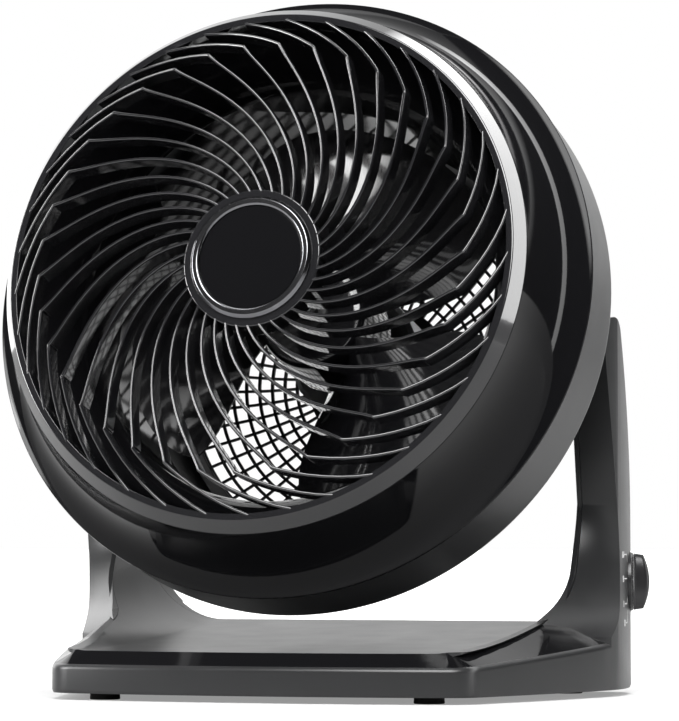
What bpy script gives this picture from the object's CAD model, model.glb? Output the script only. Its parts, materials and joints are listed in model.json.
"""Looks of the air circulator: smooth shells, swirled grille, fine rear grille, knob, fasteners and finishes.

Shapes are drawn in millimetres. The head is drawn about its own axis, as places
(radius, forward of the pivot), and HEAD_PLACE carries it to the stand.
"""
import json
import math

import bmesh
import bpy
from mathutils import Matrix, Vector


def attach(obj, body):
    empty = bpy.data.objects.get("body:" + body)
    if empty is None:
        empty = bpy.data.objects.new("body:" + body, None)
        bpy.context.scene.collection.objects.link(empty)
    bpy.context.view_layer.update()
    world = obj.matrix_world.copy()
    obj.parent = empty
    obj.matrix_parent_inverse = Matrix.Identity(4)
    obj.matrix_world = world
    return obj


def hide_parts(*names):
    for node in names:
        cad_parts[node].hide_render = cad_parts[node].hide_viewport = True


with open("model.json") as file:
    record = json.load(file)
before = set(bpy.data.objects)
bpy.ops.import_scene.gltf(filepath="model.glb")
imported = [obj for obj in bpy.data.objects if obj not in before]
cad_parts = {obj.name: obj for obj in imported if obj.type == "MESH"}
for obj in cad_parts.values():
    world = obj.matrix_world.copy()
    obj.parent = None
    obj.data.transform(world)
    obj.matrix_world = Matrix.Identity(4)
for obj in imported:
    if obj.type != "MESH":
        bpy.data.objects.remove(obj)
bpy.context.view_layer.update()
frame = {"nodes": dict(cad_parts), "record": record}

# ---------------------------------------------------------------- sizes, in millimetres

GAP = 0.3
WALL = 2.4
ROUND_STEPS = 192
PIVOT = Vector((0, 95, 212.5))
REST_TILT = 15
FRAME_SHIFT = -44.91124

LIP_FORWARD = 98.4
LIP_RADIUS = 185
BAND_RADIUS = 184
BAND_BACK = LIP_FORWARD - 49
BAND_ROUNDING = 6.5
RING_RADIUS = 160.3
RING_BACK = LIP_FORWARD + 51.6
RING_FACE = RING_BACK + 8.4
RING_FACE_RADIUS = 154.6
RING_INNER_RADIUS = 150.4
RING_SKIRT = 5
HOUSING_RADIUS = 143
HOUSING_FRONT = BAND_BACK - GAP
HOUSING_BACK = BAND_BACK - 99
REAR_RIM_RADIUS = 128
REAR_OPENING = REAR_RIM_RADIUS - 10
DUCT_RADIUS = 127
DUCT_WALL = 2.2
DUCT_OUTSIDE = DUCT_RADIUS + DUCT_WALL + GAP
DUCT_MOUTH = RING_BACK - RING_SKIRT - GAP
DUCT_BACK = 10
BOSS_START = 131.2
BORE_RADIUS = 6.3

VANE_COUNT = 37
VANE_DEPTH = 12
VANE_SWEEP = 48
VANE_TAIL_SWEEP = 20
VANE_PHASE = -0.5
HUB_RADIUS = 41.9
HUB_FACE = LIP_FORWARD + 69.3
HUB_CUP_DEPTH = 17
KINK_RADIUS = 130
KINK_FACE = LIP_FORWARD + 75.4
BEZEL_OUTER = 37.1
BEZEL_INNER = 31.5
BEZEL_HEIGHT = 2.6

GRILLE_SEAT = HOUSING_BACK - GAP
GRILLE_THICKNESS = 2.4
DISH_DEPTH = 20
PLATE_RADIUS = 47
PLATE_FACE = GRILLE_SEAT - DISH_DEPTH
PLATE_BACK = PLATE_FACE - GRILLE_THICKNESS
REAR_RINGS = 9
REAR_RIBS = 56
CAP_DEPTH = 24

PROPELLER_RADIUS = 122
PROPELLER_HUB = 34
PROPELLER_FORWARD = 38
PROPELLER_BACK = PROPELLER_FORWARD - 27
PROPELLER_FRONT = PROPELLER_FORWARD + 27
SHAFT_RADIUS = 4

STAND_FRONT = -76
STAND_REAR = 176
STAND_HALF_WIDTH = 172
STAND_WALL = 3
CORNER = Vector((128, -60))
CORNER_CUT = 12.8
WIDEST_Y = 100
SIDE_ARC = 200
REAR_CORNER = 12
LEDGE = 9
SKIRT_TOP_FRONT = 21
SKIRT_TOP_REAR = 33
PLATE_FRONT_Z = 28.7
PLATE_REAR_Z = 43.2
RIBBON_HALF = 147
RIBBON_FILLET = 40
RIBBON_THICKNESS = 3
ARM_FRONT_BEND = (103, 85)
ARM_REAR_BEND = (160, 88)
EYE_RADIUS = 14
SEAM_OFFSET = 17
FOOT_SHOW = 4
FOOT_RADIUS = 9
COVER_BOTTOM = FOOT_SHOW + 1
COVER_TOP = COVER_BOTTOM + 2.5
INLET_HEIGHT = 17
BUSH_HOLE = 10.3
PIN_HOLE = 7.3
INLET_HOLE = 5.3
SWITCH_HOLE = 3.8
STUD_HOLE = 3.3
SCREW_HOLE = 1.9

KNOB_RADIUS = 17.75
KNOB_Y = 146
KNOB_Z = 68
KNOB_RECESS = 4
KNOB_RECESS_RADIUS = KNOB_RADIUS + 1.5
KNOB_GRIP_HEIGHT = 11.5
KNOB_OFF_ANGLE = 4
DIAL_MARKS = [((-30, -24.5), (-22, -17)), ((-33, -13), (-23, -10)), ((-34, 2), (-25, 2)),
              ((-34, 16.5), (-23, 12))]
LEADER_START = 3.2
LEADER_WIDTH = 0.7
STROKE_PITCH = 1.9
STROKE_HEIGHT = 3.8
STROKE_WIDTH = 1.2
ZERO_OUTER = 2.1
ZERO_INNER = 1.2

# ---------------------------------------------------------------- drawing helpers

def bend(start, control, end, steps):
    """Points along a curve that leaves start towards control and arrives at end from it."""
    points = []
    for i in range(steps + 1):
        t = i / steps
        points.append(tuple(
            (1 - t) ** 2 * a + 2 * t * (1 - t) * b + t * t * c
            for a, b, c in zip(start, control, end)))
    return points


def mix(a, b, t):
    return a + (b - a) * t


def shift(x, y, z):
    return Matrix.Translation((x, y, z))


def rotation(axis, degrees):
    return Matrix.Rotation(math.radians(degrees), 4, axis)


MIRROR = Matrix.Scale(-1, 4, (1, 0, 0))
TO_FRAME = Matrix.Scale(0.001, 4) @ shift(0, FRAME_SHIFT, 0)
HEAD_PLACE = TO_FRAME @ shift(*PIVOT) @ rotation("X", -REST_TILT)


def in_scene(name, data):
    """Object for some data, linked to the scene."""
    made = bpy.data.objects.new(name, data)
    bpy.context.scene.collection.objects.link(made)
    return made


def inset(outline, distance):
    """Moves a closed counter-clockwise outline inwards; a negative distance grows it."""
    moved = []
    for i, (x, y) in enumerate(outline):
        before = outline[i - 1]
        after = outline[(i + 1) % len(outline)]
        into = Vector((x - before[0], y - before[1])).normalized()
        out = Vector((after[0] - x, after[1] - y)).normalized()
        across = Vector((-into.y - out.y, into.x + out.x)).normalized()
        reach = distance / max(across.dot(Vector((-out.y, out.x))), 0.3)
        moved.append((x + across.x * reach, y + across.y * reach))
    return moved


def swept(sections):
    """Solid grown from a first section through the others, one extrusion for each."""
    shape = bmesh.new()
    face = shape.faces.new([shape.verts.new(point) for point in sections[0]])
    start = list(face.verts)
    for section in sections[1:]:
        face = bmesh.ops.extrude_discrete_faces(shape, faces=[face])["faces"][0]
        for vert, point in zip(face.verts, section):
            vert.co = point
    shape.faces.new(start)
    bmesh.ops.recalc_face_normals(shape, faces=shape.faces)
    return shape


def turned(profile, rounding=0.0, steps=ROUND_STEPS):
    """Solid turned about the head axis from (radius, forward) places, its corners rounded."""
    shape = bmesh.new()
    verts = [shape.verts.new((radius, -forward, 0)) for radius, forward in profile]
    shape.faces.new(verts)
    if rounding:
        corners = []
        for i, vert in enumerate(verts):
            into = vert.co - verts[i - 1].co
            out = verts[(i + 1) % len(verts)].co - vert.co
            if vert.co.x > 0.01 and into.angle(out) > math.radians(28):
                corners.append(vert)
        bmesh.ops.bevel(
            shape, geom=corners, offset=rounding, offset_type="OFFSET", segments=3, profile=0.5,
            affect="VERTICES", clamp_overlap=True, material=-1)
    bmesh.ops.delete(shape, geom=list(shape.faces), context="FACES_ONLY")
    on_axis = [edge for edge in shape.edges if max(vert.co.x for vert in edge.verts) < 0.01]
    bmesh.ops.delete(shape, geom=on_axis, context="EDGES")
    bmesh.ops.spin(
        shape, geom=list(shape.verts) + list(shape.edges), cent=(0, 0, 0), axis=(0, 1, 0),
        dvec=(0, 0, 0), angle=2 * math.pi, steps=steps, use_merge=True, use_duplicate=False)
    bmesh.ops.remove_doubles(shape, verts=list(shape.verts), dist=1e-3)
    bmesh.ops.recalc_face_normals(shape, faces=list(shape.faces))
    return shape


def washer(inner, outer, near, far, rounding, steps):
    """Ring with four corners to its section, turned about the head axis."""
    return turned([(inner, near), (outer, near), (outer, far), (inner, far)], rounding, steps)


def bar(axis, radius, low, high, steps=48):
    """Round bar along one axis."""
    shape = bmesh.new()
    turn = {"x": rotation("Y", 90), "y": rotation("X", -90), "z": Matrix.Identity(4)}[axis]
    middle = Vector([(low + high) / 2 if name == axis else 0 for name in "xyz"])
    bmesh.ops.create_cone(
        shape, cap_ends=True, segments=steps, radius1=radius, radius2=radius, depth=high - low,
        matrix=Matrix.Translation(middle) @ turn)
    return shape


def moved(shape, matrix):
    bmesh.ops.transform(shape, matrix=matrix, verts=shape.verts)
    if matrix.determinant() < 0:
        bmesh.ops.reverse_faces(shape, faces=shape.faces)
    return shape


def combined(*shapes):
    """Several shapes in one mesh."""
    whole = bmesh.new()
    for shape in shapes:
        carrier = bpy.data.meshes.new("carrier")
        shape.to_mesh(carrier)
        shape.free()
        whole.from_mesh(carrier)
        bpy.data.meshes.remove(carrier)
    return whole


def boolean(operation, first, *others):
    """Joins, cuts or intersects solids; each tool is used up."""
    def as_object(shape, name):
        mesh = bpy.data.meshes.new(name)
        shape.to_mesh(mesh)
        shape.free()
        return in_scene(name, mesh)

    blank = as_object(first, "blank")
    tools = [as_object(shape, "tool") for shape in others]
    for tool in tools:
        cut = blank.modifiers.new("cut", "BOOLEAN")
        cut.operation = operation
        cut.solver = "MANIFOLD"
        cut.object = tool
    bpy.context.view_layer.update()
    ready = bpy.data.meshes.new_from_object(blank.evaluated_get(bpy.context.evaluated_depsgraph_get()))
    shape = bmesh.new()
    shape.from_mesh(ready)
    for made in [blank, *tools]:
        mesh = made.data
        bpy.data.objects.remove(made)
        bpy.data.meshes.remove(mesh)
    bpy.data.meshes.remove(ready)
    return shape


def piece(name, shape, place, finish, body, nodes=(), crease=33):
    """Finished object at the origin, with its place in its mesh, in the metres of the frame."""
    bmesh.ops.transform(shape, matrix=place, verts=shape.verts)
    mesh = bpy.data.meshes.new(name)
    shape.to_mesh(mesh)
    shape.free()
    mesh.shade_smooth()
    mesh.set_sharp_from_angle(angle=math.radians(crease))
    mesh.materials.clear()
    mesh.materials.append(FINISHES[finish])
    made = in_scene(name, mesh)
    even = made.modifiers.new("even_shading", "WEIGHTED_NORMAL")
    even.keep_sharp = True
    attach(made, body)
    if nodes:
        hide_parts(*nodes)
    return made


# ---------------------------------------------------------------- shader groups

def feed(tree, value, socket):
    """Gives a socket a link or a plain value."""
    if isinstance(value, bpy.types.NodeSocket):
        tree.links.new(value, socket)
    else:
        socket.default_value = value


def node(tree, kind, **values):
    """New shader node with plain values or links for its sockets, by label."""
    made = tree.nodes.new("ShaderNode" + kind)
    for label, value in values.items():
        feed(tree, value, made.inputs[label.replace("_", " ")])
    return made


def new_group(name, inputs, outputs):
    """Empty shader group with its sockets: {label: start value} in, {label: kind} out."""
    group = bpy.data.node_groups.new(name, "ShaderNodeTree")
    for label, value in inputs.items():
        kind = "NodeSocketColor" if isinstance(value, tuple) else "NodeSocketFloat"
        group.interface.new_socket(name=label, in_out="INPUT", socket_type=kind).default_value = value
    for label, kind in outputs.items():
        group.interface.new_socket(name=label, in_out="OUTPUT", socket_type=kind)
    return group, group.nodes.new("NodeGroupInput").outputs, group.nodes.new("NodeGroupOutput").inputs


def calculated(tree, operation, first, second):
    made = tree.nodes.new("ShaderNodeMath")
    made.operation = operation
    for socket, value in zip(made.inputs, (first, second)):
        feed(tree, value, socket)
    return made.outputs[0]


def noise(tree, place, scale, detail):
    return node(tree, "TexNoise", Vector=place, Scale=scale, Detail=detail).outputs["Fac"]


def ranged(tree, value, start, end, low=0.0, high=1.0):
    """Value carried from one range to another, and held at its ends."""
    return node(tree, "MapRange", Value=value, From_Min=start, From_Max=end,
                To_Min=low, To_Max=high).outputs["Result"]


def blended(tree, factor, first, second, kind="RGBA"):
    made = tree.nodes.new("ShaderNodeMix")
    made.data_type = kind
    for label, value in zip(("Factor", "A", "B"), (factor, first, second)):
        feed(tree, value, made.inputs[label])
    return made.outputs["Result"]


def moulded_surface_group():
    """Grain of a moulded surface: a height for the bump and a roughness that wanders with it."""
    group, inputs, outputs = new_group(
        "moulded_surface",
        {"Grain scale": 900.0, "Wave height": 0.3, "Roughness": 0.3, "Spread": 0.1},
        {"Height": "NodeSocketFloat", "Roughness": "NodeSocketFloat"})
    place = node(group, "TexCoord").outputs["Object"]
    grain = noise(group, place, inputs["Grain scale"], 3.0)
    swell = calculated(group, "MULTIPLY", noise(group, place, 18.0, 1.0), inputs["Wave height"])
    feed(group, calculated(group, "ADD", grain, swell), outputs["Height"])
    patch = calculated(group, "SUBTRACT", noise(group, place, 35.0, 4.0), 0.5)
    wander = calculated(group, "MULTIPLY", patch, inputs["Spread"])
    feed(group, calculated(group, "ADD", wander, inputs["Roughness"]), outputs["Roughness"])
    return group


def worn_edges_group():
    """Colour with paler rubbed edges, fine flecks and a trace of dust on what faces up."""
    group, inputs, outputs = new_group(
        "worn_edges",
        {"Colour": (0.02, 0.02, 0.02, 1), "Rubbed colour": (0.09, 0.09, 0.095, 1),
         "Wear": 0.2, "Dust": 0.02, "Speckle": 0.1},
        {"Colour": "NodeSocketColor"})
    place = node(group, "TexCoord").outputs["Object"]
    surface = node(group, "NewGeometry").outputs
    edge = ranged(group, surface["Pointiness"], 0.53, 0.62)
    patchy = calculated(group, "MULTIPLY", edge, noise(group, place, 60.0, 3.0))
    worn = calculated(group, "MULTIPLY", patchy, inputs["Wear"])
    rubbed = blended(group, worn, inputs["Colour"], inputs["Rubbed colour"])
    speck = calculated(group, "SUBTRACT", noise(group, place, 2600.0, 1.0), 0.5)
    flecked = group.nodes.new("ShaderNodeVectorMath")
    flecked.operation = "SCALE"
    feed(group, rubbed, flecked.inputs["Vector"])
    bright = calculated(group, "MULTIPLY", speck, inputs["Speckle"])
    feed(group, calculated(group, "ADD", bright, 1.0), flecked.inputs["Scale"])
    upward = node(group, "SeparateXYZ", Vector=surface["Normal"]).outputs["Z"]
    settled = calculated(group, "MAXIMUM", upward, 0.0)
    cloudy = calculated(group, "MULTIPLY", settled, noise(group, place, 140.0, 6.0))
    dust = calculated(group, "MULTIPLY", cloudy, inputs["Dust"])
    feed(group, blended(group, dust, flecked.outputs["Vector"], (0.45, 0.44, 0.42, 1)), outputs["Colour"])
    return group


SURFACE = moulded_surface_group()
EDGES = worn_edges_group()


COAT_ROUGHNESS = 0.04
RELIEF_HEIGHT = 0.0002


def finish(name, colour, rubbed, rough, metal=0.0, coat=0.0, bump=0.1, grain=900.0, wave=0.0,
           spread=0.08, wear=0.25, dust=0.01, speckle=0.1, specular=0.5):
    """Material with moulded grain, rubbed edges and dust, each at its own strength."""
    material = bpy.data.materials.new(name)
    material.use_nodes = True
    tree = material.node_tree
    shader = tree.nodes["Principled BSDF"]
    parts = []
    for group, values in (
            (SURFACE, {"Grain scale": grain, "Wave height": wave, "Roughness": rough, "Spread": spread}),
            (EDGES, {"Colour": (*colour, 1), "Rubbed colour": (*rubbed, 1), "Wear": wear, "Dust": dust,
                     "Speckle": speckle})):
        part = tree.nodes.new("ShaderNodeGroup")
        part.node_tree = group
        for label, value in values.items():
            feed(tree, value, part.inputs[label])
        parts.append(part.outputs)
    surface, edges = parts
    relief = node(tree, "Bump", Strength=bump, Distance=RELIEF_HEIGHT, Height=surface["Height"])
    for label, value in (
            ("Metallic", metal), ("Coat Weight", coat), ("Coat Roughness", COAT_ROUGHNESS),
            ("Specular IOR Level", specular), ("Normal", relief.outputs["Normal"]),
            ("Roughness", surface["Roughness"]), ("Base Color", edges["Colour"])):
        feed(tree, value, shader.inputs[label])
    return material


def layered(material, scale, dark):
    """Adds the fine lines of stacked sheets or wound wire to a finish, across the head axis."""
    tree = material.node_tree
    shader = tree.nodes["Principled BSDF"]
    place = node(tree, "TexCoord").outputs["Object"]
    turn = node(tree, "Mapping", Vector=place, Rotation=(math.radians(REST_TILT), 0, 0))
    lines = node(tree, "TexWave", Vector=turn.outputs["Vector"], Scale=scale, Distortion=0.4)
    lines.bands_direction = "Y"
    colour = shader.inputs["Base Color"].links[0].from_socket
    feed(tree, blended(tree, lines.outputs["Fac"], colour, (*dark, 1)), shader.inputs["Base Color"])


FINISHES = {name: finish(name, colour, rubbed, rough, **rest) for name, colour, rubbed, rough, rest in (
    ("gloss_black", (0.004, 0.004, 0.0045), (0.04, 0.04, 0.045), 0.06, {
        "bump": 0.04, "grain": 300.0, "wave": 0.4, "spread": 0.04, "dust": 0.001, "speckle": 0.0,
        "specular": 0.17}),
    ("grille_black", (0.008, 0.008, 0.009), (0.08, 0.08, 0.085), 0.09, {
        "coat": 0.7, "bump": 0.06, "grain": 420.0, "dust": 0.006}),
    ("knob_black", (0.014, 0.014, 0.015), (0.1, 0.1, 0.1), 0.27, {
        "bump": 0.16, "grain": 1500.0, "spread": 0.1, "dust": 0.006}),
    ("graphite_satin", (0.016, 0.0163, 0.017), (0.08, 0.08, 0.085), 0.31, {
        "metal": 0.1, "grain": 2400.0, "spread": 0.1, "dust": 0.006, "speckle": 0.5}),
    ("matt_black", (0.013, 0.013, 0.014), (0.07, 0.07, 0.07), 0.42, {
        "bump": 0.25, "grain": 1300.0, "spread": 0.15, "dust": 0.03}),
    ("propeller_black", (0.008, 0.008, 0.009), (0.06, 0.06, 0.06), 0.09, {
        "coat": 0.7, "bump": 0.06, "grain": 350.0, "wave": 0.4, "spread": 0.06, "dust": 0.02,
        "speckle": 0.0}),
    ("dark_chrome", (0.2, 0.2, 0.21), (0.4, 0.4, 0.41), 0.16, {
        "metal": 1.0, "bump": 0.05, "grain": 700.0, "dust": 0.004}),
    ("steel", (0.42, 0.43, 0.44), (0.6, 0.6, 0.6), 0.34, {
        "metal": 1.0, "bump": 0.2, "grain": 1100.0, "spread": 0.2, "dust": 0.02}),
    ("screw_steel", (0.13, 0.13, 0.135), (0.4, 0.4, 0.4), 0.32, {
        "metal": 1.0, "bump": 0.2, "grain": 1600.0, "spread": 0.15, "wear": 0.7}),
    ("laminations", (0.2, 0.2, 0.205), (0.3, 0.3, 0.3), 0.45, {
        "metal": 1.0, "bump": 0.3, "spread": 0.2}),
    ("copper", (0.55, 0.2, 0.08), (0.7, 0.35, 0.2), 0.35, {
        "metal": 1.0, "bump": 0.4, "grain": 1600.0, "spread": 0.2}),
    ("bronze", (0.45, 0.3, 0.13), (0.6, 0.45, 0.25), 0.4, {
        "metal": 1.0, "bump": 0.4, "grain": 2200.0, "spread": 0.2}),
    ("rubber", (0.009, 0.009, 0.009), (0.04, 0.04, 0.04), 0.75, {
        "bump": 0.5, "grain": 1200.0, "spread": 0.15, "dust": 0.05, "speckle": 0.3, "specular": 0.3}),
    ("dial_print", (0.62, 0.62, 0.62), (0.5, 0.5, 0.5), 0.5, {
        "grain": 2000.0, "spread": 0.1, "dust": 0.0}))}
layered(FINISHES["laminations"], 320.0, (0.05, 0.045, 0.04))
layered(FINISHES["copper"], 500.0, (0.16, 0.05, 0.02))


# ---------------------------------------------------------------- head shells

def trumpet():
    """Glossy flare from the grille ring back to the rolled lip."""
    outside = bend(
        (RING_RADIUS, RING_BACK - GAP), (RING_RADIUS + 3.2, LIP_FORWARD + 9.6),
        (LIP_RADIUS - 1.5, LIP_FORWARD + 1.2), 40)
    inside = bend(
        (BAND_RADIUS - WALL, LIP_FORWARD - 1.6), (RING_RADIUS + 0.3, LIP_FORWARD + 7.1),
        (RING_RADIUS - WALL, RING_BACK - GAP), 30)
    lip = [(LIP_RADIUS - 0.3, LIP_FORWARD + 0.7), (LIP_RADIUS, LIP_FORWARD - 0.2),
           (LIP_RADIUS - 0.1, LIP_FORWARD - 1.1), (LIP_RADIUS - 0.5, LIP_FORWARD - 1.6)]
    return turned([*outside, *lip, *inside], rounding=0.25)


def band():
    """Satin band behind the lip, rounded over at the back into a flat wall."""
    front = LIP_FORWARD - 1.6 - GAP
    inner = BAND_RADIUS - WALL
    turn = BAND_BACK + BAND_ROUNDING
    outer_turn = bend(
        (BAND_RADIUS, turn), (BAND_RADIUS, BAND_BACK), (BAND_RADIUS - BAND_ROUNDING, BAND_BACK), 12)
    inner_turn = bend(
        (BAND_RADIUS - BAND_ROUNDING, BAND_BACK + WALL), (inner, BAND_BACK + WALL), (inner, turn), 6)
    return turned([
        (BAND_RADIUS, front), *outer_turn, (DUCT_OUTSIDE, BAND_BACK), (DUCT_OUTSIDE, BAND_BACK + WALL),
        *inner_turn, (inner, front)], rounding=0.5)


def duct():
    """Bell-mouthed duct round the propeller."""
    throat = LIP_FORWARD - 2
    inside = bend(
        (RING_INNER_RADIUS, DUCT_MOUTH), (DUCT_RADIUS + 3, throat + 26), (DUCT_RADIUS, throat), 24)
    outside = bend(
        (DUCT_RADIUS + DUCT_WALL, throat), (DUCT_RADIUS + DUCT_WALL + 3, throat + 26),
        (RING_INNER_RADIUS + WALL, DUCT_MOUTH), 24)
    return turned([*inside, (DUCT_RADIUS, DUCT_BACK), (DUCT_RADIUS + DUCT_WALL, DUCT_BACK), *outside],
                  rounding=0.4)


def rear_bowl():
    """Rear housing with the flat bosses that take the pivot pins."""
    shoulder = HOUSING_FRONT - 19
    waist = (HOUSING_RADIUS - 2, HOUSING_BACK + 38)
    outside = bend((HOUSING_RADIUS, shoulder), waist, (REAR_RIM_RADIUS, HOUSING_BACK), 24)
    inside = [(radius - WALL, forward + 0.6) for radius, forward in bend(
        (REAR_RIM_RADIUS, HOUSING_BACK + WALL), waist, (HOUSING_RADIUS, shoulder), 16)]
    shell = turned([
        (HOUSING_RADIUS, HOUSING_FRONT), *outside, (REAR_OPENING, HOUSING_BACK),
        (REAR_OPENING, HOUSING_BACK + WALL), *inside, (HOUSING_RADIUS - WALL, HOUSING_FRONT - WALL),
        (DUCT_OUTSIDE, HOUSING_FRONT - WALL), (DUCT_OUTSIDE, HOUSING_FRONT)], rounding=0.6)
    boss = washer(BORE_RADIUS, 15, 0, HOUSING_RADIUS - BOSS_START, 0.8, 64)
    right = moved(boss, shift(BOSS_START, 0, 0) @ rotation("Z", 90))
    return combined(shell, right, moved(right.copy(), MIRROR))


def hub_ring():
    """Smoked bright ring round the badge place."""
    base = HUB_FACE + GAP
    crown = base + BEZEL_HEIGHT
    return turned([
        (BEZEL_INNER, base), (BEZEL_OUTER, base), (BEZEL_OUTER, base + 0.8),
        (BEZEL_OUTER - 1.8, crown), (BEZEL_INNER + 1.2, crown), (BEZEL_INNER, crown - 0.8)],
        rounding=0.35)


def badge_place():
    """Bare crowned disc in the middle of the hub."""
    base = HUB_FACE + GAP
    radius = BEZEL_INNER - GAP
    crown = base + BEZEL_HEIGHT - 0.8
    dome = bend((radius, crown - 0.6), (radius * 0.5, crown), (0, crown), 16)
    return turned([(0, base), (radius, base), *dome], rounding=0.3)


# ---------------------------------------------------------------- front grille

def vane_angle(radius):
    """Turn of a vane's middle line at a radius, in degrees, zero at the kink."""
    if radius < KINK_RADIUS:
        share = (KINK_RADIUS - radius) / (KINK_RADIUS - HUB_RADIUS)
        return -VANE_SWEEP * share ** 1.2
    return VANE_TAIL_SWEEP * (radius - KINK_RADIUS) / (RING_INNER_RADIUS - KINK_RADIUS)


def vane_front(radius):
    """Forward place of a vane's front edge: it rises to the kink, then drops to the ring."""
    if radius < KINK_RADIUS:
        return mix(HUB_FACE, KINK_FACE, max((radius - HUB_RADIUS) / (KINK_RADIUS - HUB_RADIUS), 0))
    return mix(KINK_FACE, RING_FACE, min((radius - KINK_RADIUS) / (RING_INNER_RADIUS - KINK_RADIUS), 1))


def vane(phase):
    """One vane on edge, with a rounded front bead and a little draft."""
    inner = HUB_RADIUS - WALL / 2
    outer = RING_INNER_RADIUS + WALL / 2
    radii = [mix(inner, KINK_RADIUS - 1.6, i / 20) for i in range(21)]
    radii += [KINK_RADIUS - 0.7, KINK_RADIUS, KINK_RADIUS + 0.7]
    radii += [mix(KINK_RADIUS + 1.6, outer, i / 6) for i in range(7)]
    angles = [math.radians(phase + vane_angle(radius)) for radius in radii]
    middle = [Vector((math.cos(a) * r, math.sin(a) * r)) for a, r in zip(angles, radii)]
    bead = [(-0.75, -VANE_DEPTH), (-1.0, -1.2), (-0.82, -0.5), (-0.42, -0.08), (0, 0),
            (0.42, -0.08), (0.82, -0.5), (1.0, -1.2), (0.75, -VANE_DEPTH)]
    sections = []
    for i, point in enumerate(middle):
        along = middle[min(i + 1, len(middle) - 1)] - middle[max(i - 1, 0)]
        side = Vector((-along.y, along.x)).normalized()
        front = vane_front(radii[i])
        section = []
        for across, deep in bead:
            place = point + side * across
            section.append(Vector((place.x, -(front + deep), place.y)))
        sections.append(section)
    return swept(sections)


def swirl_grille():
    """Vanes, hub cup and bevelled ring."""
    skirt = RING_BACK - RING_SKIRT
    ring = turned([
        (RING_RADIUS, RING_BACK), (RING_FACE_RADIUS, RING_FACE - 0.3), (RING_FACE_RADIUS - 0.8, RING_FACE),
        (RING_INNER_RADIUS, RING_FACE), (RING_INNER_RADIUS, skirt), (RING_INNER_RADIUS + WALL, skirt),
        (RING_INNER_RADIUS + WALL, RING_BACK)], rounding=0.3)
    back = HUB_FACE - HUB_CUP_DEPTH
    cup = turned([
        (0, HUB_FACE), (HUB_RADIUS, HUB_FACE), (HUB_RADIUS, back), (HUB_RADIUS - WALL, back),
        (HUB_RADIUS - WALL, HUB_FACE - WALL), (0, HUB_FACE - WALL)], rounding=1.0)
    vanes = [vane(VANE_PHASE + 360 * i / VANE_COUNT) for i in range(VANE_COUNT)]
    return combined(ring, cup, *vanes)


# ---------------------------------------------------------------- rear grille and cap

def dish(radius):
    """How far the rear grille stands back at a radius."""
    share = (REAR_OPENING - radius) / (REAR_OPENING - PLATE_RADIUS)
    return DISH_DEPTH * math.sin(min(max(share, 0), 1) * math.pi / 2)


def guard_ring(radius, width):
    """One ring of the rear grille, a round-edged bar."""
    face = GRILLE_SEAT - dish(radius)
    return washer(radius - width / 2, radius + width / 2, face, face - GRILLE_THICKNESS, 0.5, 96)


def guard_rib(degrees):
    """One rib of the rear grille, from the motor plate to the rim, along the dish."""
    sections = []
    for i in range(13):
        radius = mix(PLATE_RADIUS - 2.5, REAR_OPENING + 1, i / 12)
        face = GRILLE_SEAT - dish(radius) - 0.3
        sections.append([
            Vector((radius, -face, -0.8)), Vector((radius, -face, 0.8)),
            Vector((radius, -face + 1.4, 0.8)), Vector((radius, -face + 1.8, 0)),
            Vector((radius, -face + 1.4, -0.8))])
    return moved(swept(sections), rotation("Y", degrees))


def intake_guard():
    """Dished rear grille: rim, fine rings and ribs, and the motor plate."""
    rim = washer(REAR_OPENING - 1, REAR_RIM_RADIUS - 1.5, GRILLE_SEAT, GRILLE_SEAT - GRILLE_THICKNESS,
                 0.5, ROUND_STEPS)
    plate = washer(0, PLATE_RADIUS, PLATE_FACE, PLATE_BACK, 0.5, 96)
    pitch = (REAR_OPENING - PLATE_RADIUS) / REAR_RINGS
    rings = [guard_ring(PLATE_RADIUS + pitch * i, 2.0) for i in range(1, REAR_RINGS)]
    ribs = [guard_rib(360 * i / REAR_RIBS) for i in range(REAR_RIBS)]
    return combined(rim, plate, *rings, *ribs)


def motor_cover():
    """Round cap behind the motor plate."""
    face = PLATE_BACK - GAP
    back = face - CAP_DEPTH
    radius = PLATE_RADIUS - 1
    flat = radius * 0.6
    outside = bend((flat, back), (radius, back), (radius, face), 20)
    inside = bend((radius - WALL, face), (radius - WALL, back + WALL), (flat, back + WALL), 12)
    return turned([(0, back), *outside, *inside, (0, back + WALL)], rounding=0.4, steps=128)


# ---------------------------------------------------------------- propeller

BLADE_REACH = 46
BLADE_TWIST = 8
BLADE_RISE = 23
BLADE_CAMBER = 5
BLADE_THICKNESS = 2.4


def blade(middle):
    """One broad blade: a flat slab wrapped round the axis, twisted, with a rounded tip."""
    shape = bmesh.new()
    bmesh.ops.create_grid(shape, x_segments=30, y_segments=22, size=1.0)
    slab = bmesh.ops.extrude_face_region(shape, geom=list(shape.faces))["geom"]
    lifted = {item for item in slab if isinstance(item, bmesh.types.BMVert)}
    for vert in shape.verts:
        across, out = vert.co.x, (vert.co.y + 1) / 2
        layer = 0.5 if vert in lifted else -0.5
        radius = mix(PROPELLER_HUB - 1.2, PROPELLER_RADIUS - 12 * abs(across) ** 4, out)
        half = BLADE_REACH * (0.72 + 0.28 * math.sin(out * 2.2))
        angle = math.radians(middle + across * half + BLADE_TWIST * (out - 0.5))
        rise = across * BLADE_RISE * (1 - 0.25 * out)
        camber = BLADE_CAMBER * (1 - across * across)
        thick = BLADE_THICKNESS * (1 - 0.5 * abs(across))
        forward = PROPELLER_FORWARD + rise + camber - layer * thick
        vert.co = (math.cos(angle) * radius, -forward, math.sin(angle) * radius)
    bmesh.ops.recalc_face_normals(shape, faces=list(shape.faces))
    return shape


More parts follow.
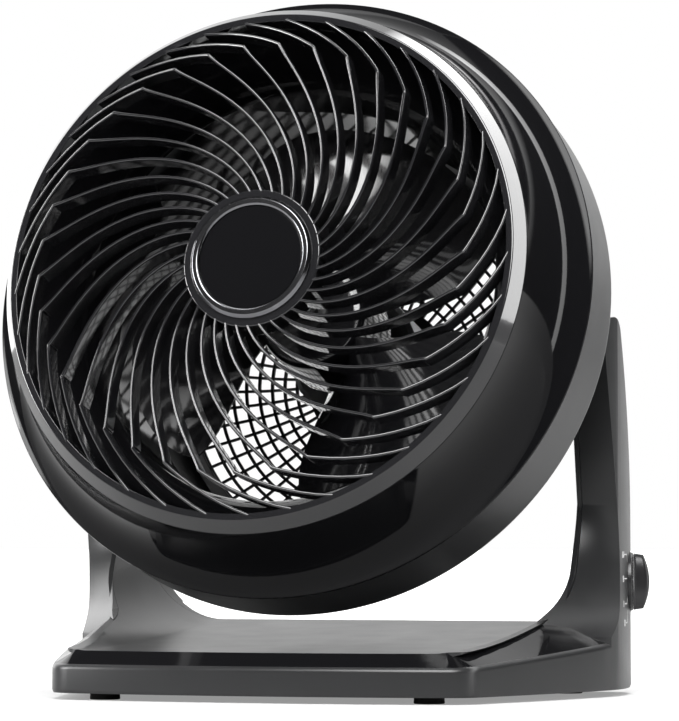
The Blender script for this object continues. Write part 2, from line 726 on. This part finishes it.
def three_blades():
    """Hub cup with its shaft boss, and the blades moulded into it."""
    bore = SHAFT_RADIUS + GAP
    boss = SHAFT_RADIUS + 5
    under = PROPELLER_FRONT - WALL
    outer = PROPELLER_HUB
    cup = turned([
        (bore, PROPELLER_FRONT), (outer - 7, PROPELLER_FRONT), (outer - 2, PROPELLER_FRONT - 2),
        (outer, PROPELLER_FRONT - 7), (outer, PROPELLER_BACK), (outer - WALL, PROPELLER_BACK),
        (outer - WALL, under - 5), (outer - WALL - 5, under), (boss, under),
        (boss, PROPELLER_BACK + 12), (bore, PROPELLER_BACK + 12)], rounding=1.0, steps=96)
    return combined(cup, *[blade(65 + 120 * i) for i in range(3)])


def spinner_nut():
    """Flanged nut that holds the propeller on its shaft, with flats for a spanner."""
    base = PROPELLER_FRONT + GAP
    flange = turned([
        (4.3, base), (11, base), (11, base + 1.6), (8, base + 2.4), (4.3, base + 2.4)],
        rounding=0.3, steps=48)
    return combined(flange, washer(4.3, 7, base + 2.2, base + 7, 0.3, 6))


# ---------------------------------------------------------------- stand outline

def side_x(y):
    """Outside of the arm at a depth behind the widest place, seen from above."""
    return STAND_HALF_WIDTH - SIDE_ARC + math.sqrt(SIDE_ARC ** 2 - (y - WIDEST_Y) ** 2)


def plan_outline():
    """Plan of the stand, counter-clockwise from above."""
    front_via = Vector((CORNER.x / 2, STAND_FRONT))
    side_via = Vector((STAND_HALF_WIDTH - 4, WIDEST_Y - 40))
    left_of = CORNER + (front_via - CORNER).normalized() * CORNER_CUT
    right_of = CORNER + (side_via - CORNER).normalized() * CORNER_CUT
    rear_turn = STAND_REAR - REAR_CORNER
    sweep = math.asin((rear_turn - WIDEST_Y) / SIDE_ARC)
    centre = STAND_HALF_WIDTH - SIDE_ARC
    arc = [(centre + SIDE_ARC * math.cos(sweep * i / 10), WIDEST_Y + SIDE_ARC * math.sin(sweep * i / 10))
           for i in range(11)]
    rear_x = side_x(STAND_REAR)
    side = [
        *bend((0, STAND_FRONT), front_via, left_of, 12),
        *bend(left_of, CORNER, right_of, 10)[1:],
        *bend(right_of, side_via, (STAND_HALF_WIDTH, WIDEST_Y), 16)[1:],
        *arc[1:],
        *bend(arc[-1], (rear_x, STAND_REAR), (rear_x - REAR_CORNER, STAND_REAR), 6)[1:],
        (rear_x - 2 * REAR_CORNER, STAND_REAR), (RIBBON_HALF - RIBBON_FILLET, STAND_REAR),
        (50, STAND_REAR), (0, STAND_REAR)]
    return side + [(-x, y) for x, y in reversed(side[1:-1])]


def skirt_top(y):
    share = (min(max(y, CORNER.y), WIDEST_Y) - CORNER.y) / (WIDEST_Y - CORNER.y)
    return mix(SKIRT_TOP_FRONT, SKIRT_TOP_REAR, share)


def plate_height(y):
    """Height of the base plate, which rises to the rear."""
    start = STAND_FRONT + LEDGE
    share = min(max((y - start) / (STAND_REAR - LEDGE - start), 0), 1.1)
    return mix(PLATE_FRONT_Z, PLATE_REAR_Z, share ** 1.6)


FILLET_X = RIBBON_HALF - RIBBON_FILLET


def ribbon_height(x, y):
    """Height of the ribbon's surface at a place of the plan."""
    across = min(max(abs(x) - FILLET_X, 0), RIBBON_FILLET)
    return plate_height(y) + RIBBON_FILLET - math.sqrt(RIBBON_FILLET ** 2 - across ** 2)


def ribbon_x(y, z):
    """How far out the ribbon's surface stands at a height."""
    below = max(RIBBON_FILLET - max(z - plate_height(y), 0), 0)
    return FILLET_X + math.sqrt(RIBBON_FILLET ** 2 - below ** 2)


# Side view of the ribbon's front edge, from the base's front up to the arm.
EDGE_CURVE = [
    (STAND_FRONT - 4, 29.0), (-60, 29.3), (-40, 30.1), (-20, 31.7), (0, 34.2), (20, 37.7), (40, 41.6),
    (56, 45.0), (65, 47.6), (71.5, 51), (75, 56), (78, 63), (82, 73), (87, 84), (92, 95), (96, 106),
    (98.1, 115)]
LIP_HEIGHT = 50
LIP_REAR = 104


def edge_height(y):
    """Height of the ribbon's front edge, in front of the arms."""
    after = next((i for i, point in enumerate(EDGE_CURVE) if point[0] >= y), len(EDGE_CURVE) - 1)
    (y0, z0), (y1, z1) = EDGE_CURVE[max(after - 1, 0)], EDGE_CURVE[max(after, 1)]
    return mix(z0, z1, (y - y0) / (y1 - y0))


def touch(start, radius, side):
    """Where a line from a point touches a circle round the pivot, in side view."""
    back = (start[0] - PIVOT.y, start[1] - PIVOT.z)
    return math.atan2(back[1], back[0]) + side * math.acos(radius / math.hypot(*back))


def eye_arc(radius, start, end, steps):
    turns = [mix(start, end, i / steps) for i in range(steps + 1)]
    return [(PIVOT.y + math.cos(turn) * radius, PIVOT.z + math.sin(turn) * radius) for turn in turns]


REAR_CURVE = bend(ARM_REAR_BEND, (171, 58), (STAND_REAR, SKIRT_TOP_REAR - 20), 20)[::-1]
ARM_LOW = REAR_CURVE[0][1]
FRONT_TOUCH = touch(ARM_FRONT_BEND, EYE_RADIUS, -1) + 2 * math.pi
# Front of an arm from the top down, as (height, depth on the outside, depth at the ribbon).
ARM_FRONT_KNOTS = [
    (115, 98.1, 98.1), (106, 99.6, 96), (95, 101.4, 92), (84, 103, 87), (73, 103.5, 82), (63, 103.6, 78),
    (56, 103.2, 75), (51, 102.2, 71.5), (47, 100.6, 69), (43, 98.0, 67.5), (39, 94.4, 66.5), (35.5, 90.4, 66)]


def flowing(knots, steps):
    """Smooth curve through all the knots."""
    padded = [knots[0], *knots, knots[-1]]
    points = []
    for before, start, end, after in zip(padded, padded[1:], padded[2:], padded[3:]):
        for i in range(steps):
            t = i / steps
            points.append(tuple(0.5 * (2 * b + (c - a) * t + (2 * a - 5 * b + 4 * c - d) * t * t
                                       + (3 * b - a - 3 * c + d) * t ** 3)
                                for a, b, c, d in zip(before, start, end, after)))
    return [*points, knots[-1]]


KNOT_STEPS = 4
ARM_FRONT = flowing(ARM_FRONT_KNOTS, KNOT_STEPS)


def arm_profile(share):
    """Side view of an arm, counter-clockwise with the front to the left: share 0 at the ribbon, 1 outside."""
    front = [(mix(inner, outer, share), z) for z, outer, inner in ARM_FRONT]
    return [
        (front[-1][0], ARM_LOW), *REAR_CURVE,
        *eye_arc(EYE_RADIUS, touch(ARM_REAR_BEND, EYE_RADIUS, 1), FRONT_TOUCH, 24), *front]


def arm_hollow(share):
    """Side view of the space inside an arm, open below."""
    wall = STAND_WALL
    rear = [(y, -1 if z < ARM_LOW + 2 * wall else z) for y, z in inset(REAR_CURVE, wall)][1:-1]
    front = [(mix(inner, outer, share) + 1.5 * wall, z)
             for z, outer, inner in ARM_FRONT_KNOTS if z > LIP_HEIGHT]
    return [
        (front[-1][0], -1), (rear[0][0] - 1, -1), *rear,
        *eye_arc(EYE_RADIUS - wall, touch(ARM_REAR_BEND, EYE_RADIUS, 1), FRONT_TOUCH, 24), *front]


def arm_solid(profile):
    """Both arms, whose front faces slant and run out forward into a lip over the ledge."""
    inner_x, outer_x = RIBBON_HALF - 12, STAND_HALF_WIDTH + 5
    arms = []
    for side in (1, -1):
        sections = []
        for x in [mix(inner_x, outer_x, i / 12) for i in range(13)]:
            outline = profile((x - RIBBON_HALF) / (STAND_HALF_WIDTH - RIBBON_HALF))
            sections.append([Vector((side * x, y, z)) for y, z in outline])
        arms.append(swept(sections))
    return arms


def ribbon_profile():
    """Side view of the inner ribbon: plate, sweep and the front part of the arms."""
    seam_bend = (ARM_REAR_BEND[0] - SEAM_OFFSET, ARM_REAR_BEND[1])
    seam_foot = (STAND_REAR - LEDGE, PLATE_REAR_Z)
    seam_eye = EYE_RADIUS - STAND_WALL
    return [
        (STAND_FRONT - 4, 0), (seam_foot[0], 0),
        *bend(seam_foot, (seam_bend[0] + 10, PLATE_REAR_Z + 13), seam_bend, 16),
        *eye_arc(seam_eye, touch(seam_bend, seam_eye, 1), math.pi / 3, 10),
        *eye_arc(EYE_RADIUS, math.pi / 2, FRONT_TOUCH, 14),
        *reversed(EDGE_CURVE)]


# ---------------------------------------------------------------- stand shells

PLAN = plan_outline()


def from_above(outline, low, high):
    return swept([[Vector((x, y, low)) for x, y in outline], [Vector((x, y, high)) for x, y in outline]])


def from_side(outline, left, right):
    return swept([[Vector((left, y, z)) for y, z in outline], [Vector((right, y, z)) for y, z in outline]])


def trough(thickness):
    """Space between the arms and above the plate, grown by a thickness all round."""
    half = RIBBON_HALF + thickness
    fillet = RIBBON_FILLET + thickness
    top = PIVOT.z + 2 * EYE_RADIUS - PLATE_FRONT_Z
    turns = [math.pi / 2 * i / 20 for i in range(21)]
    right = [(half - fillet + fillet * math.sin(turn), RIBBON_FILLET - fillet * math.cos(turn))
             for turn in turns]
    section = [(half, top), (-half, top), *[(-x, z) for x, z in reversed(right)], *right]
    sections = []
    for i in range(57):
        y = mix(STAND_FRONT - 20, STAND_REAR + 20, i / 56)
        sections.append([Vector((x, y, z + plate_height(y))) for x, z in section])
    return swept(sections)


def base_body(wall, floor):
    """Base body: skirt, rolled edge and the sloped ledge up to the ribbon."""
    def ring(extra, height):
        return [Vector((x, y, height(y))) for x, y in inset(PLAN, wall + extra)]

    ledge = []
    seam_middle = mix(ARM_REAR_BEND[0], STAND_REAR - LEDGE, 0.5)
    for x, y in inset(PLAN, wall + LEDGE):
        if y < LIP_REAR:
            z = min(edge_height(y), LIP_HEIGHT)
            reach = min(abs(x), ribbon_x(y, z))
            ledge.append(Vector((math.copysign(reach, x), y, z - wall)))
        else:
            reach = min(abs(x), RIBBON_HALF)
            depth = min(y, seam_middle) if reach > RIBBON_HALF - 10 else y
            ledge.append(Vector((math.copysign(reach, x), depth, ribbon_height(reach, y) - wall)))
    rings = [ring(0.8, lambda y: floor), ring(0, lambda y: FOOT_SHOW + 2)]
    for extra, drop in ((0.0, 3.2), (0.25, 2.0), (0.9, 0.8), (2.2, 0.0)):
        rings.append(ring(extra, lambda y, drop=drop: skirt_top(y) - drop - wall))
    middle = (STAND_FRONT + STAND_REAR) / 2
    over = Vector((0, middle, PLATE_REAR_Z + 20))
    under = Vector((0, middle, floor))
    return swept([
        [mix(under, point, 0.004) for point in rings[0]], *rings, ledge,
        [mix(over, point, 0.004) for point in ledge]])


KNOB_PLACE = (shift(side_x(KNOB_Y), KNOB_Y, KNOB_Z)
              @ rotation("Z", math.degrees(math.asin((KNOB_Y - WIDEST_Y) / SIDE_ARC))))


def stand_body():
    """Skirt, ledge and the outside of both arms, hollow, with the dial's recess."""
    side = STAND_HALF_WIDTH
    tall = PIVOT.z + 2 * EYE_RADIUS
    arms = boolean("INTERSECT", combined(*arm_solid(arm_profile)), from_above(PLAN, ARM_LOW, tall))
    hollow = boolean(
        "INTERSECT", combined(*arm_solid(arm_hollow)),
        from_above(inset(PLAN, STAND_WALL), -2, PIVOT.z - EYE_RADIUS - STAND_WALL))
    inside = boolean("UNION", base_body(STAND_WALL, -1), hollow)
    inside = boolean("DIFFERENCE", inside, trough(RIBBON_THICKNESS))
    seat = boolean(
        "INTERSECT", trough(RIBBON_THICKNESS + GAP), from_side(inset(ribbon_profile(), -GAP), -side, side),
        from_above(inset(PLAN, LEDGE - GAP), 0, tall))
    cup = boolean(
        "INTERSECT", moved(bar("x", KNOB_RADIUS + 5, -KNOB_RECESS - STAND_WALL, 2, 72), KNOB_PLACE),
        arms.copy())
    solid = boolean("UNION", base_body(0, FOOT_SHOW), arms)
    solid = boolean("DIFFERENCE", solid, inside)
    solid = boolean("UNION", solid, cup)
    depth = side - STAND_WALL - 1
    return boolean(
        "DIFFERENCE", solid, trough(0), seat,
        moved(bar("x", BUSH_HOLE, -depth, depth), shift(0, PIVOT.y, PIVOT.z)),
        moved(bar("x", KNOB_RECESS_RADIUS, -KNOB_RECESS, 10, 72), KNOB_PLACE),
        moved(bar("x", SWITCH_HOLE, -2 * KNOB_RECESS - STAND_WALL, 0), KNOB_PLACE),
        moved(bar("y", INLET_HOLE, STAND_REAR - 10, STAND_REAR + 1), shift(0, 0, INLET_HEIGHT)))


def polish_ledge(stand):
    """Gives the sloped ledge round the plate its polish."""
    stand.data.materials.append(FINISHES["gloss_black"])
    outer = inset(PLAN, 2.0)
    for face in stand.data.polygons:
        x, y, z = face.center * 1000
        y -= FRAME_SHIFT
        sloped = face.normal.z > 0.12 and skirt_top(y) - 0.5 < z < LIP_HEIGHT + 1 and y < LIP_REAR
        if sloped and inside_outline(outer, x, y) and not on_arm_front(x, y, z):
            face.material_index = 1


def on_arm_front(x, y, z):
    """Whether a place lies on the slanted front face of an arm, give or take a little."""
    share = (abs(x) - RIBBON_HALF) / (STAND_HALF_WIDTH - RIBBON_HALF)
    for (z1, outer1, inner1), (z0, outer0, inner0) in zip(ARM_FRONT, ARM_FRONT[1:]):
        if z0 <= z <= z1:
            front = mix(mix(inner0, outer0, share), mix(inner1, outer1, share), (z - z0) / (z1 - z0))
            return abs(y - front) < 0.8
    return False


def inside_outline(outline, x, y):
    inside = False
    for i, (x1, y1) in enumerate(outline):
        x0, y0 = outline[i - 1]
        if (y0 > y) != (y1 > y) and x < (x1 - x0) * (y - y0) / (y1 - y0) + x0:
            inside = not inside
    return inside


def ribbon_sheet():
    """Base plate that sweeps up into the inner faces of the arms."""
    side = STAND_HALF_WIDTH
    sheet = boolean("DIFFERENCE", trough(RIBBON_THICKNESS), trough(0))
    sheet = boolean(
        "INTERSECT", sheet, from_side(ribbon_profile(), -side, side),
        from_above(inset(PLAN, LEDGE), 0, PIVOT.z + 2 * EYE_RADIUS))
    return boolean(
        "DIFFERENCE", sheet, moved(bar("x", PIN_HOLE, -side, side), shift(0, PIVOT.y, PIVOT.z)))


BASE_SCREW_SPOTS = [(-70, -35), (70, -35), (-85, 120), (85, 120)]
FOOT_SPOTS = {
    "foot_front_left": (-100, -44), "foot_front_right": (100, -44),
    "foot_rear_left": (-128, 142), "foot_rear_right": (128, 142)}


def bottom_cover():
    """Flat cover under the base, with the holes of its screws and feet."""
    spots = [(SCREW_HOLE, *spot) for spot in BASE_SCREW_SPOTS]
    spots += [(STUD_HOLE, *spot) for spot in FOOT_SPOTS.values()]
    holes = [moved(bar("z", radius, 0, COVER_TOP + 1, 24), shift(x, y, 0)) for radius, x, y in spots]
    return boolean(
        "DIFFERENCE", from_above(inset(PLAN, STAND_WALL + 0.6), COVER_BOTTOM, COVER_TOP), *holes)


def rubber_foot():
    """Rubber foot with a rounded tread and its stud."""
    top = COVER_BOTTOM - GAP
    return moved(turned([
        (0, 0), (FOOT_RADIUS, 0), (FOOT_RADIUS - 0.4, top), (3, top), (3, COVER_TOP + 2), (0, COVER_TOP + 2)],
        rounding=0.8, steps=64), rotation("X", -90))


def cord_inlet():
    """Bush of the cord's inlet at the back of the base."""
    shape = turned([
        (3, -STAND_REAR - 2.5), (7.5, -STAND_REAR - 2.5), (7.5, -STAND_REAR - GAP), (5, -STAND_REAR - GAP),
        (5, -STAND_REAR + 7), (3, -STAND_REAR + 7)], rounding=0.5, steps=64)
    return moved(shape, shift(0, 0, INLET_HEIGHT))


def pan_screw(length=11):
    """Pan-head screw that stands on the origin along the head axis, with a crossed recess."""
    head = turned([(0, 2), (2.3, 2), (3.2, 1.0), (3.2, 0), (1.6, 0), (1.6, -length + 1), (0, -length)],
                  rounding=0.25, steps=32)
    slots = []
    for degrees in (0, 90):
        cross = bmesh.new()
        bmesh.ops.create_cube(cross, size=1.0, matrix=rotation("Y", degrees)
                              @ shift(0, -1.8, 0) @ Matrix.Diagonal((3.2, 1.6, 0.7, 1)))
        slots.append(cross)
    return boolean("DIFFERENCE", head, *slots)


# ---------------------------------------------------------------- knob and dial

def knob_body():
    """Drum with a fin across it, whose crest is an arc."""
    back = GAP + 1.8 + GAP - KNOB_RECESS
    face = 2.4
    reach = KNOB_RADIUS - 0.5
    drum = moved(washer(0, KNOB_RADIUS, -back, -face, 0.8, 120), rotation("Z", 90))

    def level(share, half):
        points = []
        for i in range(48):
            turn = 2 * math.pi * i / 48
            a = math.copysign(abs(math.cos(turn)) ** 0.75, math.cos(turn)) * (reach - 0.9 * share)
            b = math.sin(turn) * half
            crest = KNOB_GRIP_HEIGHT - 4.2 * (a / reach) ** 2
            points.append(Vector((mix(face - 0.5, crest, share), b, -a)))
        return points

    grip = swept([level(share, half) for share, half in (
        (0.0, 6.6), (0.12, 5.6), (0.22, 5.2), (0.72, 4.4), (0.86, 3.9), (0.95, 3.1), (0.99, 2.2),
        (1.0, 1.0))])
    return combined(drum, moved(grip, rotation("X", -KNOB_OFF_ANGLE)))


def printed_bar(middle, along, width):
    """Outline of a thin bar in the plane of the dial, as long as along: places are (rearward, up)."""
    ahead = along / 2
    side = Vector((-along.y, along.x)).normalized() * width / 2
    return [middle - ahead - side, middle + ahead - side, middle + ahead + side, middle - ahead + side]


def dial_marks():
    """Ring for O and strokes for I, II and III, each with a bent leader towards the knob."""
    outlines = []
    for strokes, (place, target) in enumerate(DIAL_MARKS):
        place, target = Vector(place), Vector(target)
        turn = Vector((target.x, place.y))
        start = place + Vector((LEADER_START, 0))
        outlines.append(printed_bar((start + turn) / 2, turn - start + Vector((0.6, 0)), LEADER_WIDTH))
        lean = target + Vector((2.5, 0)) - turn
        outlines.append(printed_bar(turn + lean / 2, lean, LEADER_WIDTH))
        for stroke in range(strokes):
            beside = Vector(((stroke - (strokes - 1) / 2) * STROKE_PITCH, 0))
            outlines.append(printed_bar(place + beside, Vector((0, STROKE_HEIGHT)), STROKE_WIDTH))
    centre = Vector(DIAL_MARKS[0][0])
    around = [Vector((math.cos(math.radians(15 * i)), math.sin(math.radians(15 * i)))) for i in range(25)]
    for start, end in zip(around, around[1:]):
        outlines.append([centre + start * ZERO_OUTER, centre + end * ZERO_OUTER,
                         centre + end * ZERO_INNER, centre + start * ZERO_INNER])
    return combined(*[on_arm(outline) for outline in outlines])


def on_arm(outline):
    """Lays a small outline, in (rearward, up) from the knob's middle, on the arm's curved outside."""
    def place(point, lift):
        y = KNOB_Y + point[0]
        radius = SIDE_ARC + lift
        x = STAND_HALF_WIDTH - SIDE_ARC + math.sqrt(radius ** 2 - (y - WIDEST_Y) ** 2)
        return Vector((x, y, KNOB_Z + point[1]))

    return swept([[place(point, -0.05) for point in outline], [place(point, 0.06) for point in outline]])


# ---------------------------------------------------------------- pieces on their bodies

for name, shape, look, replaced in (
        ("trumpet_shell", trumpet, "gloss_black", "front_shroud"),
        ("satin_band", band, "graphite_satin", "outer_band"),
        ("propeller_duct", duct, "gloss_black", "inner_duct"),
        ("rear_bowl", rear_bowl, "graphite_satin", "rear_housing"),
        ("swirl_grille", swirl_grille, "grille_black", "front_grille"),
        ("hub_trim_ring", hub_ring, "dark_chrome", "hub_bezel"),
        ("hub_disc", badge_place, "gloss_black", "hub_badge"),
        ("intake_guard", intake_guard, "matt_black", "rear_grille"),
        ("motor_cover", motor_cover, "graphite_satin", "rear_cap")):
    piece(name, shape(), HEAD_PLACE, look, "head", [replaced], crease=40 if shape is swirl_grille else 33)
piece("propeller_blades", three_blades(), HEAD_PLACE, "propeller_black", "propeller", ["propeller"],
      crease=50)
piece("spinner_nut", spinner_nut(), HEAD_PLACE, "matt_black", "propeller", ["propeller_nut"])

polish_ledge(piece("stand_body", stand_body(), TO_FRAME, "graphite_satin", "stand", ["stand_shell"]))
piece("ribbon_sheet", ribbon_sheet(), TO_FRAME, "graphite_satin", "stand", ["inner_ribbon"])
piece("bottom_cover", bottom_cover(), TO_FRAME, "matt_black", "stand", ["base_bottom"])
piece("cord_inlet", cord_inlet(), TO_FRAME, "rubber", "stand", ["cord_gland"])
for foot, (x, y) in FOOT_SPOTS.items():
    piece("rubber_" + foot, rubber_foot(), TO_FRAME @ shift(x, y, 0), "rubber", "stand", [foot])

piece("dial_knob", knob_body(), TO_FRAME @ KNOB_PLACE, "knob_black", "knob", ["speed_knob"], crease=45)
piece("dial_marks", dial_marks(), TO_FRAME, "dial_print", "stand")

BUSH_START = 150.6
BUSH_END = STAND_HALF_WIDTH - STAND_WALL - 4
AT_PIVOT = TO_FRAME @ shift(0, PIVOT.y, PIVOT.z)
for side, mirror in (("right", Matrix.Identity(4)), ("left", MIRROR)):
    for name, replaced, bore, radius, start, end in (
            ("friction_washer_", "pivot_washer_", 7, 13, HOUSING_RADIUS + GAP, RIBBON_HALF - GAP),
            ("sleeve_bush_", "pivot_bush_", BORE_RADIUS, 10, BUSH_START, BUSH_END)):
        shape = moved(washer(bore, radius, start, end, 0.4, 64), mirror @ rotation("Z", 90))
        piece(name + side, shape, AT_PIVOT, "matt_black", "stand", [replaced + side])

SHELL_SCREW_CIRCLE = (DUCT_OUTSIDE + HOUSING_RADIUS - WALL) / 2
BACKWARD = rotation("X", 180)
for order in range(1, 5):
    turn = math.radians(90 * order - 45)
    aside = Vector((math.cos(turn), 0, math.sin(turn)))
    for name, circle, seat, length, facing in (
            ("shell_screw_", SHELL_SCREW_CIRCLE, BAND_BACK + WALL + GAP, 11, Matrix.Identity(4)),
            ("rim_screw_", REAR_RIM_RADIUS - 5, GRILLE_SEAT - GRILLE_THICKNESS - GAP, 11, BACKWARD),
            ("motor_screw_", 30, PLATE_BACK - GAP, 5.5, BACKWARD)):
        where = shift(*(aside * circle + Vector((0, -seat, 0))))
        piece(f"pan_{name}{order}", pan_screw(length), HEAD_PLACE @ where @ facing,
              "screw_steel", "head", [f"{name}{order}"])
for order, (x, y) in enumerate(BASE_SCREW_SPOTS, 1):
    down = shift(x, y, COVER_BOTTOM - GAP) @ rotation("X", 90)
    piece(f"pan_base_screw_{order}", pan_screw(), TO_FRAME @ down, "screw_steel", "stand",
          [f"base_screw_{order}"])

SLOT_OF_NODE = {entry["node"]: entry["material_slot"] for entry in frame["record"]["subparts"]}
for name, solid in frame["nodes"].items():
    solid.data.materials.clear()
    solid.data.materials.append(FINISHES[SLOT_OF_NODE[name]])


# ---------------------------------------------------------------- floor, light and camera

FLOOR_GLOW = (0.3, 1.0)
FLOOR_GLOW_REACH = (0.3, 1.0)
DIM_ROOM = 0.03
WHITE_SCREEN = 1.0
SCREEN_LEFT = -3.0
SCREEN_RIGHT = 0.3
DIFFUSE_ROOM = 0.4
STRIP_PLANE = (-0.295, -0.883, 0.365)
STRIP_OFFSET = -0.3
STRIP_HALF_WIDTH = 0.07
STRIP_STRENGTH = 8.0
STRIP_END = 0.0
LEFT_SCREEN_STRENGTH = 3.0
ROUND_WINDOWS = [((0.16, -0.61, 0.77), 18, 13.0), ((-0.87, -0.45, 0.2), 10, 12.0)]


def area_light(name, place, aim_height, size, power, mirrored=False):
    """Rectangular lamp that faces a height above the frame's origin."""
    lamp = bpy.data.lights.new(name, "AREA")
    lamp.shape = "RECTANGLE"
    lamp.size, lamp.size_y = size
    lamp.energy = power
    made = in_scene(name, lamp)
    made.location = place
    made.rotation_euler = (Vector((0, 0, aim_height)) - Vector(place)).to_track_quat("-Z", "Y").to_euler()
    made.visible_glossy = mirrored
    made.visible_camera = False


def studio_floor():
    """Plain white floor: it shows white to the camera and keeps the soft shadow."""
    shape = bmesh.new()
    bmesh.ops.create_grid(shape, x_segments=8, y_segments=8, size=30.0)
    mesh = bpy.data.meshes.new("studio_floor")
    shape.to_mesh(mesh)
    shape.free()
    material = bpy.data.materials.new("studio_floor")
    material.use_nodes = True
    tree = material.node_tree
    away = tree.nodes.new("ShaderNodeVectorMath")
    away.operation = "LENGTH"
    feed(tree, node(tree, "TexCoord").outputs["Object"], away.inputs[0])
    brighter = ranged(tree, away.outputs["Value"], *FLOOR_GLOW_REACH, *FLOOR_GLOW)
    seen = node(tree, "LightPath").outputs["Is Camera Ray"]
    for label, value in (
            ("Base Color", (0.5, 0.5, 0.5, 1)), ("Roughness", 0.9), ("Specular IOR Level", 0.0),
            ("Emission Color", (1, 1, 1, 1)),
            ("Emission Strength", calculated(tree, "MULTIPLY", seen, brighter))):
        feed(tree, value, tree.nodes["Principled BSDF"].inputs[label])
    mesh.materials.append(material)
    in_scene("studio_floor", mesh)


def towards(tree, place, direction):
    """How far a place lies along a direction."""
    made = tree.nodes.new("ShaderNodeVectorMath")
    made.operation = "DOT_PRODUCT"
    made.inputs[1].default_value = direction
    feed(tree, place, made.inputs[0])
    return made.outputs["Value"]


def studio_world():
    """White to the camera; glossy rays see a white screen behind, a dim room and a few bright windows."""
    world = bpy.data.worlds.new("studio")
    bpy.context.scene.world = world
    world.use_nodes = True
    tree = world.node_tree
    place = node(tree, "TexCoord").outputs["Generated"]
    split = node(tree, "SeparateXYZ", Vector=place).outputs
    behind = calculated(tree, "MAXIMUM", split["Y"], 0.001)
    aside = calculated(tree, "DIVIDE", split["X"], behind)
    right_edge = ranged(tree, aside, SCREEN_RIGHT + 0.2, SCREEN_RIGHT)
    left_edge = ranged(tree, aside, SCREEN_LEFT - 1.0, SCREEN_LEFT)
    screen = ranged(tree, calculated(tree, "MULTIPLY", right_edge, left_edge), 0, 1, DIM_ROOM, WHITE_SCREEN)
    beside = ranged(tree, aside, -0.6, -1.0, 1.0, LEFT_SCREEN_STRENGTH)
    off_middle = calculated(tree, "ABSOLUTE", calculated(
        tree, "SUBTRACT", towards(tree, place, STRIP_PLANE), STRIP_OFFSET), 0.0)
    strip = ranged(tree, off_middle, STRIP_HALF_WIDTH + 0.012, STRIP_HALF_WIDTH)
    on_right = ranged(tree, split["X"], STRIP_END - 0.08, STRIP_END + 0.08, 0, STRIP_STRENGTH)
    mirrored = calculated(tree, "ADD", calculated(tree, "MULTIPLY", screen, beside),
                          calculated(tree, "MULTIPLY", strip, on_right))
    for direction, reach, strength in ROUND_WINDOWS:
        window = ranged(tree, towards(tree, place, Vector(direction).normalized()),
                        math.cos(math.radians(reach * 1.3)), math.cos(math.radians(reach)), 0, strength)
        mirrored = calculated(tree, "ADD", mirrored, window)
    rays = node(tree, "LightPath").outputs
    unseen = blended(tree, rays["Is Diffuse Ray"], mirrored, DIFFUSE_ROOM, "FLOAT")
    shade = tree.nodes["Background"].inputs
    feed(tree, (1, 1, 1, 1), shade["Color"])
    feed(tree, blended(tree, rays["Is Camera Ray"], unseen, 1.0, "FLOAT"), shade["Strength"])


TARGET = Vector((0, -0.04491, 0.238))
studio_floor()
studio_world()
area_light("fill_right", (1.75, -0.3, 0.55), 0.25, (0.5, 1.3), 5)
area_light("softbox_left", (-1.6, -0.8, 0.8), 0.25, (0.4, 0.9), 16, mirrored=True)
area_light("fill_front", (0.25, -1.3, 1.35), 0.25, (0.6, 0.5), 8)
area_light("fill_top", (0.1, 0.9, 1.7), 0.15, (0.9, 0.5), 18)

CAMERA_AZIMUTH = 20.0
CAMERA_ELEVATION = -3.3
CAMERA_DISTANCE = 2.5
FRAME_WIDTH = 679
FRAME_HEIGHT = 721
FOCAL_PIXELS = 4226
SENSOR = 36
TARGET_PIXEL = (290.9, 294.9)
azimuth = math.radians(CAMERA_AZIMUTH)
elevation = math.radians(CAMERA_ELEVATION)
lens = bpy.data.cameras.new("photo_camera")
lens.sensor_width = SENSOR
lens.lens = SENSOR * FOCAL_PIXELS / FRAME_HEIGHT
lens.shift_x = (FRAME_WIDTH / 2 - TARGET_PIXEL[0]) / FRAME_HEIGHT
lens.shift_y = (TARGET_PIXEL[1] - FRAME_HEIGHT / 2) / FRAME_HEIGHT
lens.clip_end = 100
camera = in_scene("photo_camera", lens)
camera.location = TARGET + CAMERA_DISTANCE * Vector((
    math.cos(elevation) * math.sin(azimuth), -math.cos(elevation) * math.cos(azimuth), math.sin(elevation)))
camera.rotation_euler = (TARGET - camera.location).to_track_quat("-Z", "Y").to_euler()
bpy.context.scene.camera = camera
bpy.context.scene.view_settings.view_transform = "Standard"

bpy.context.view_layer.update()
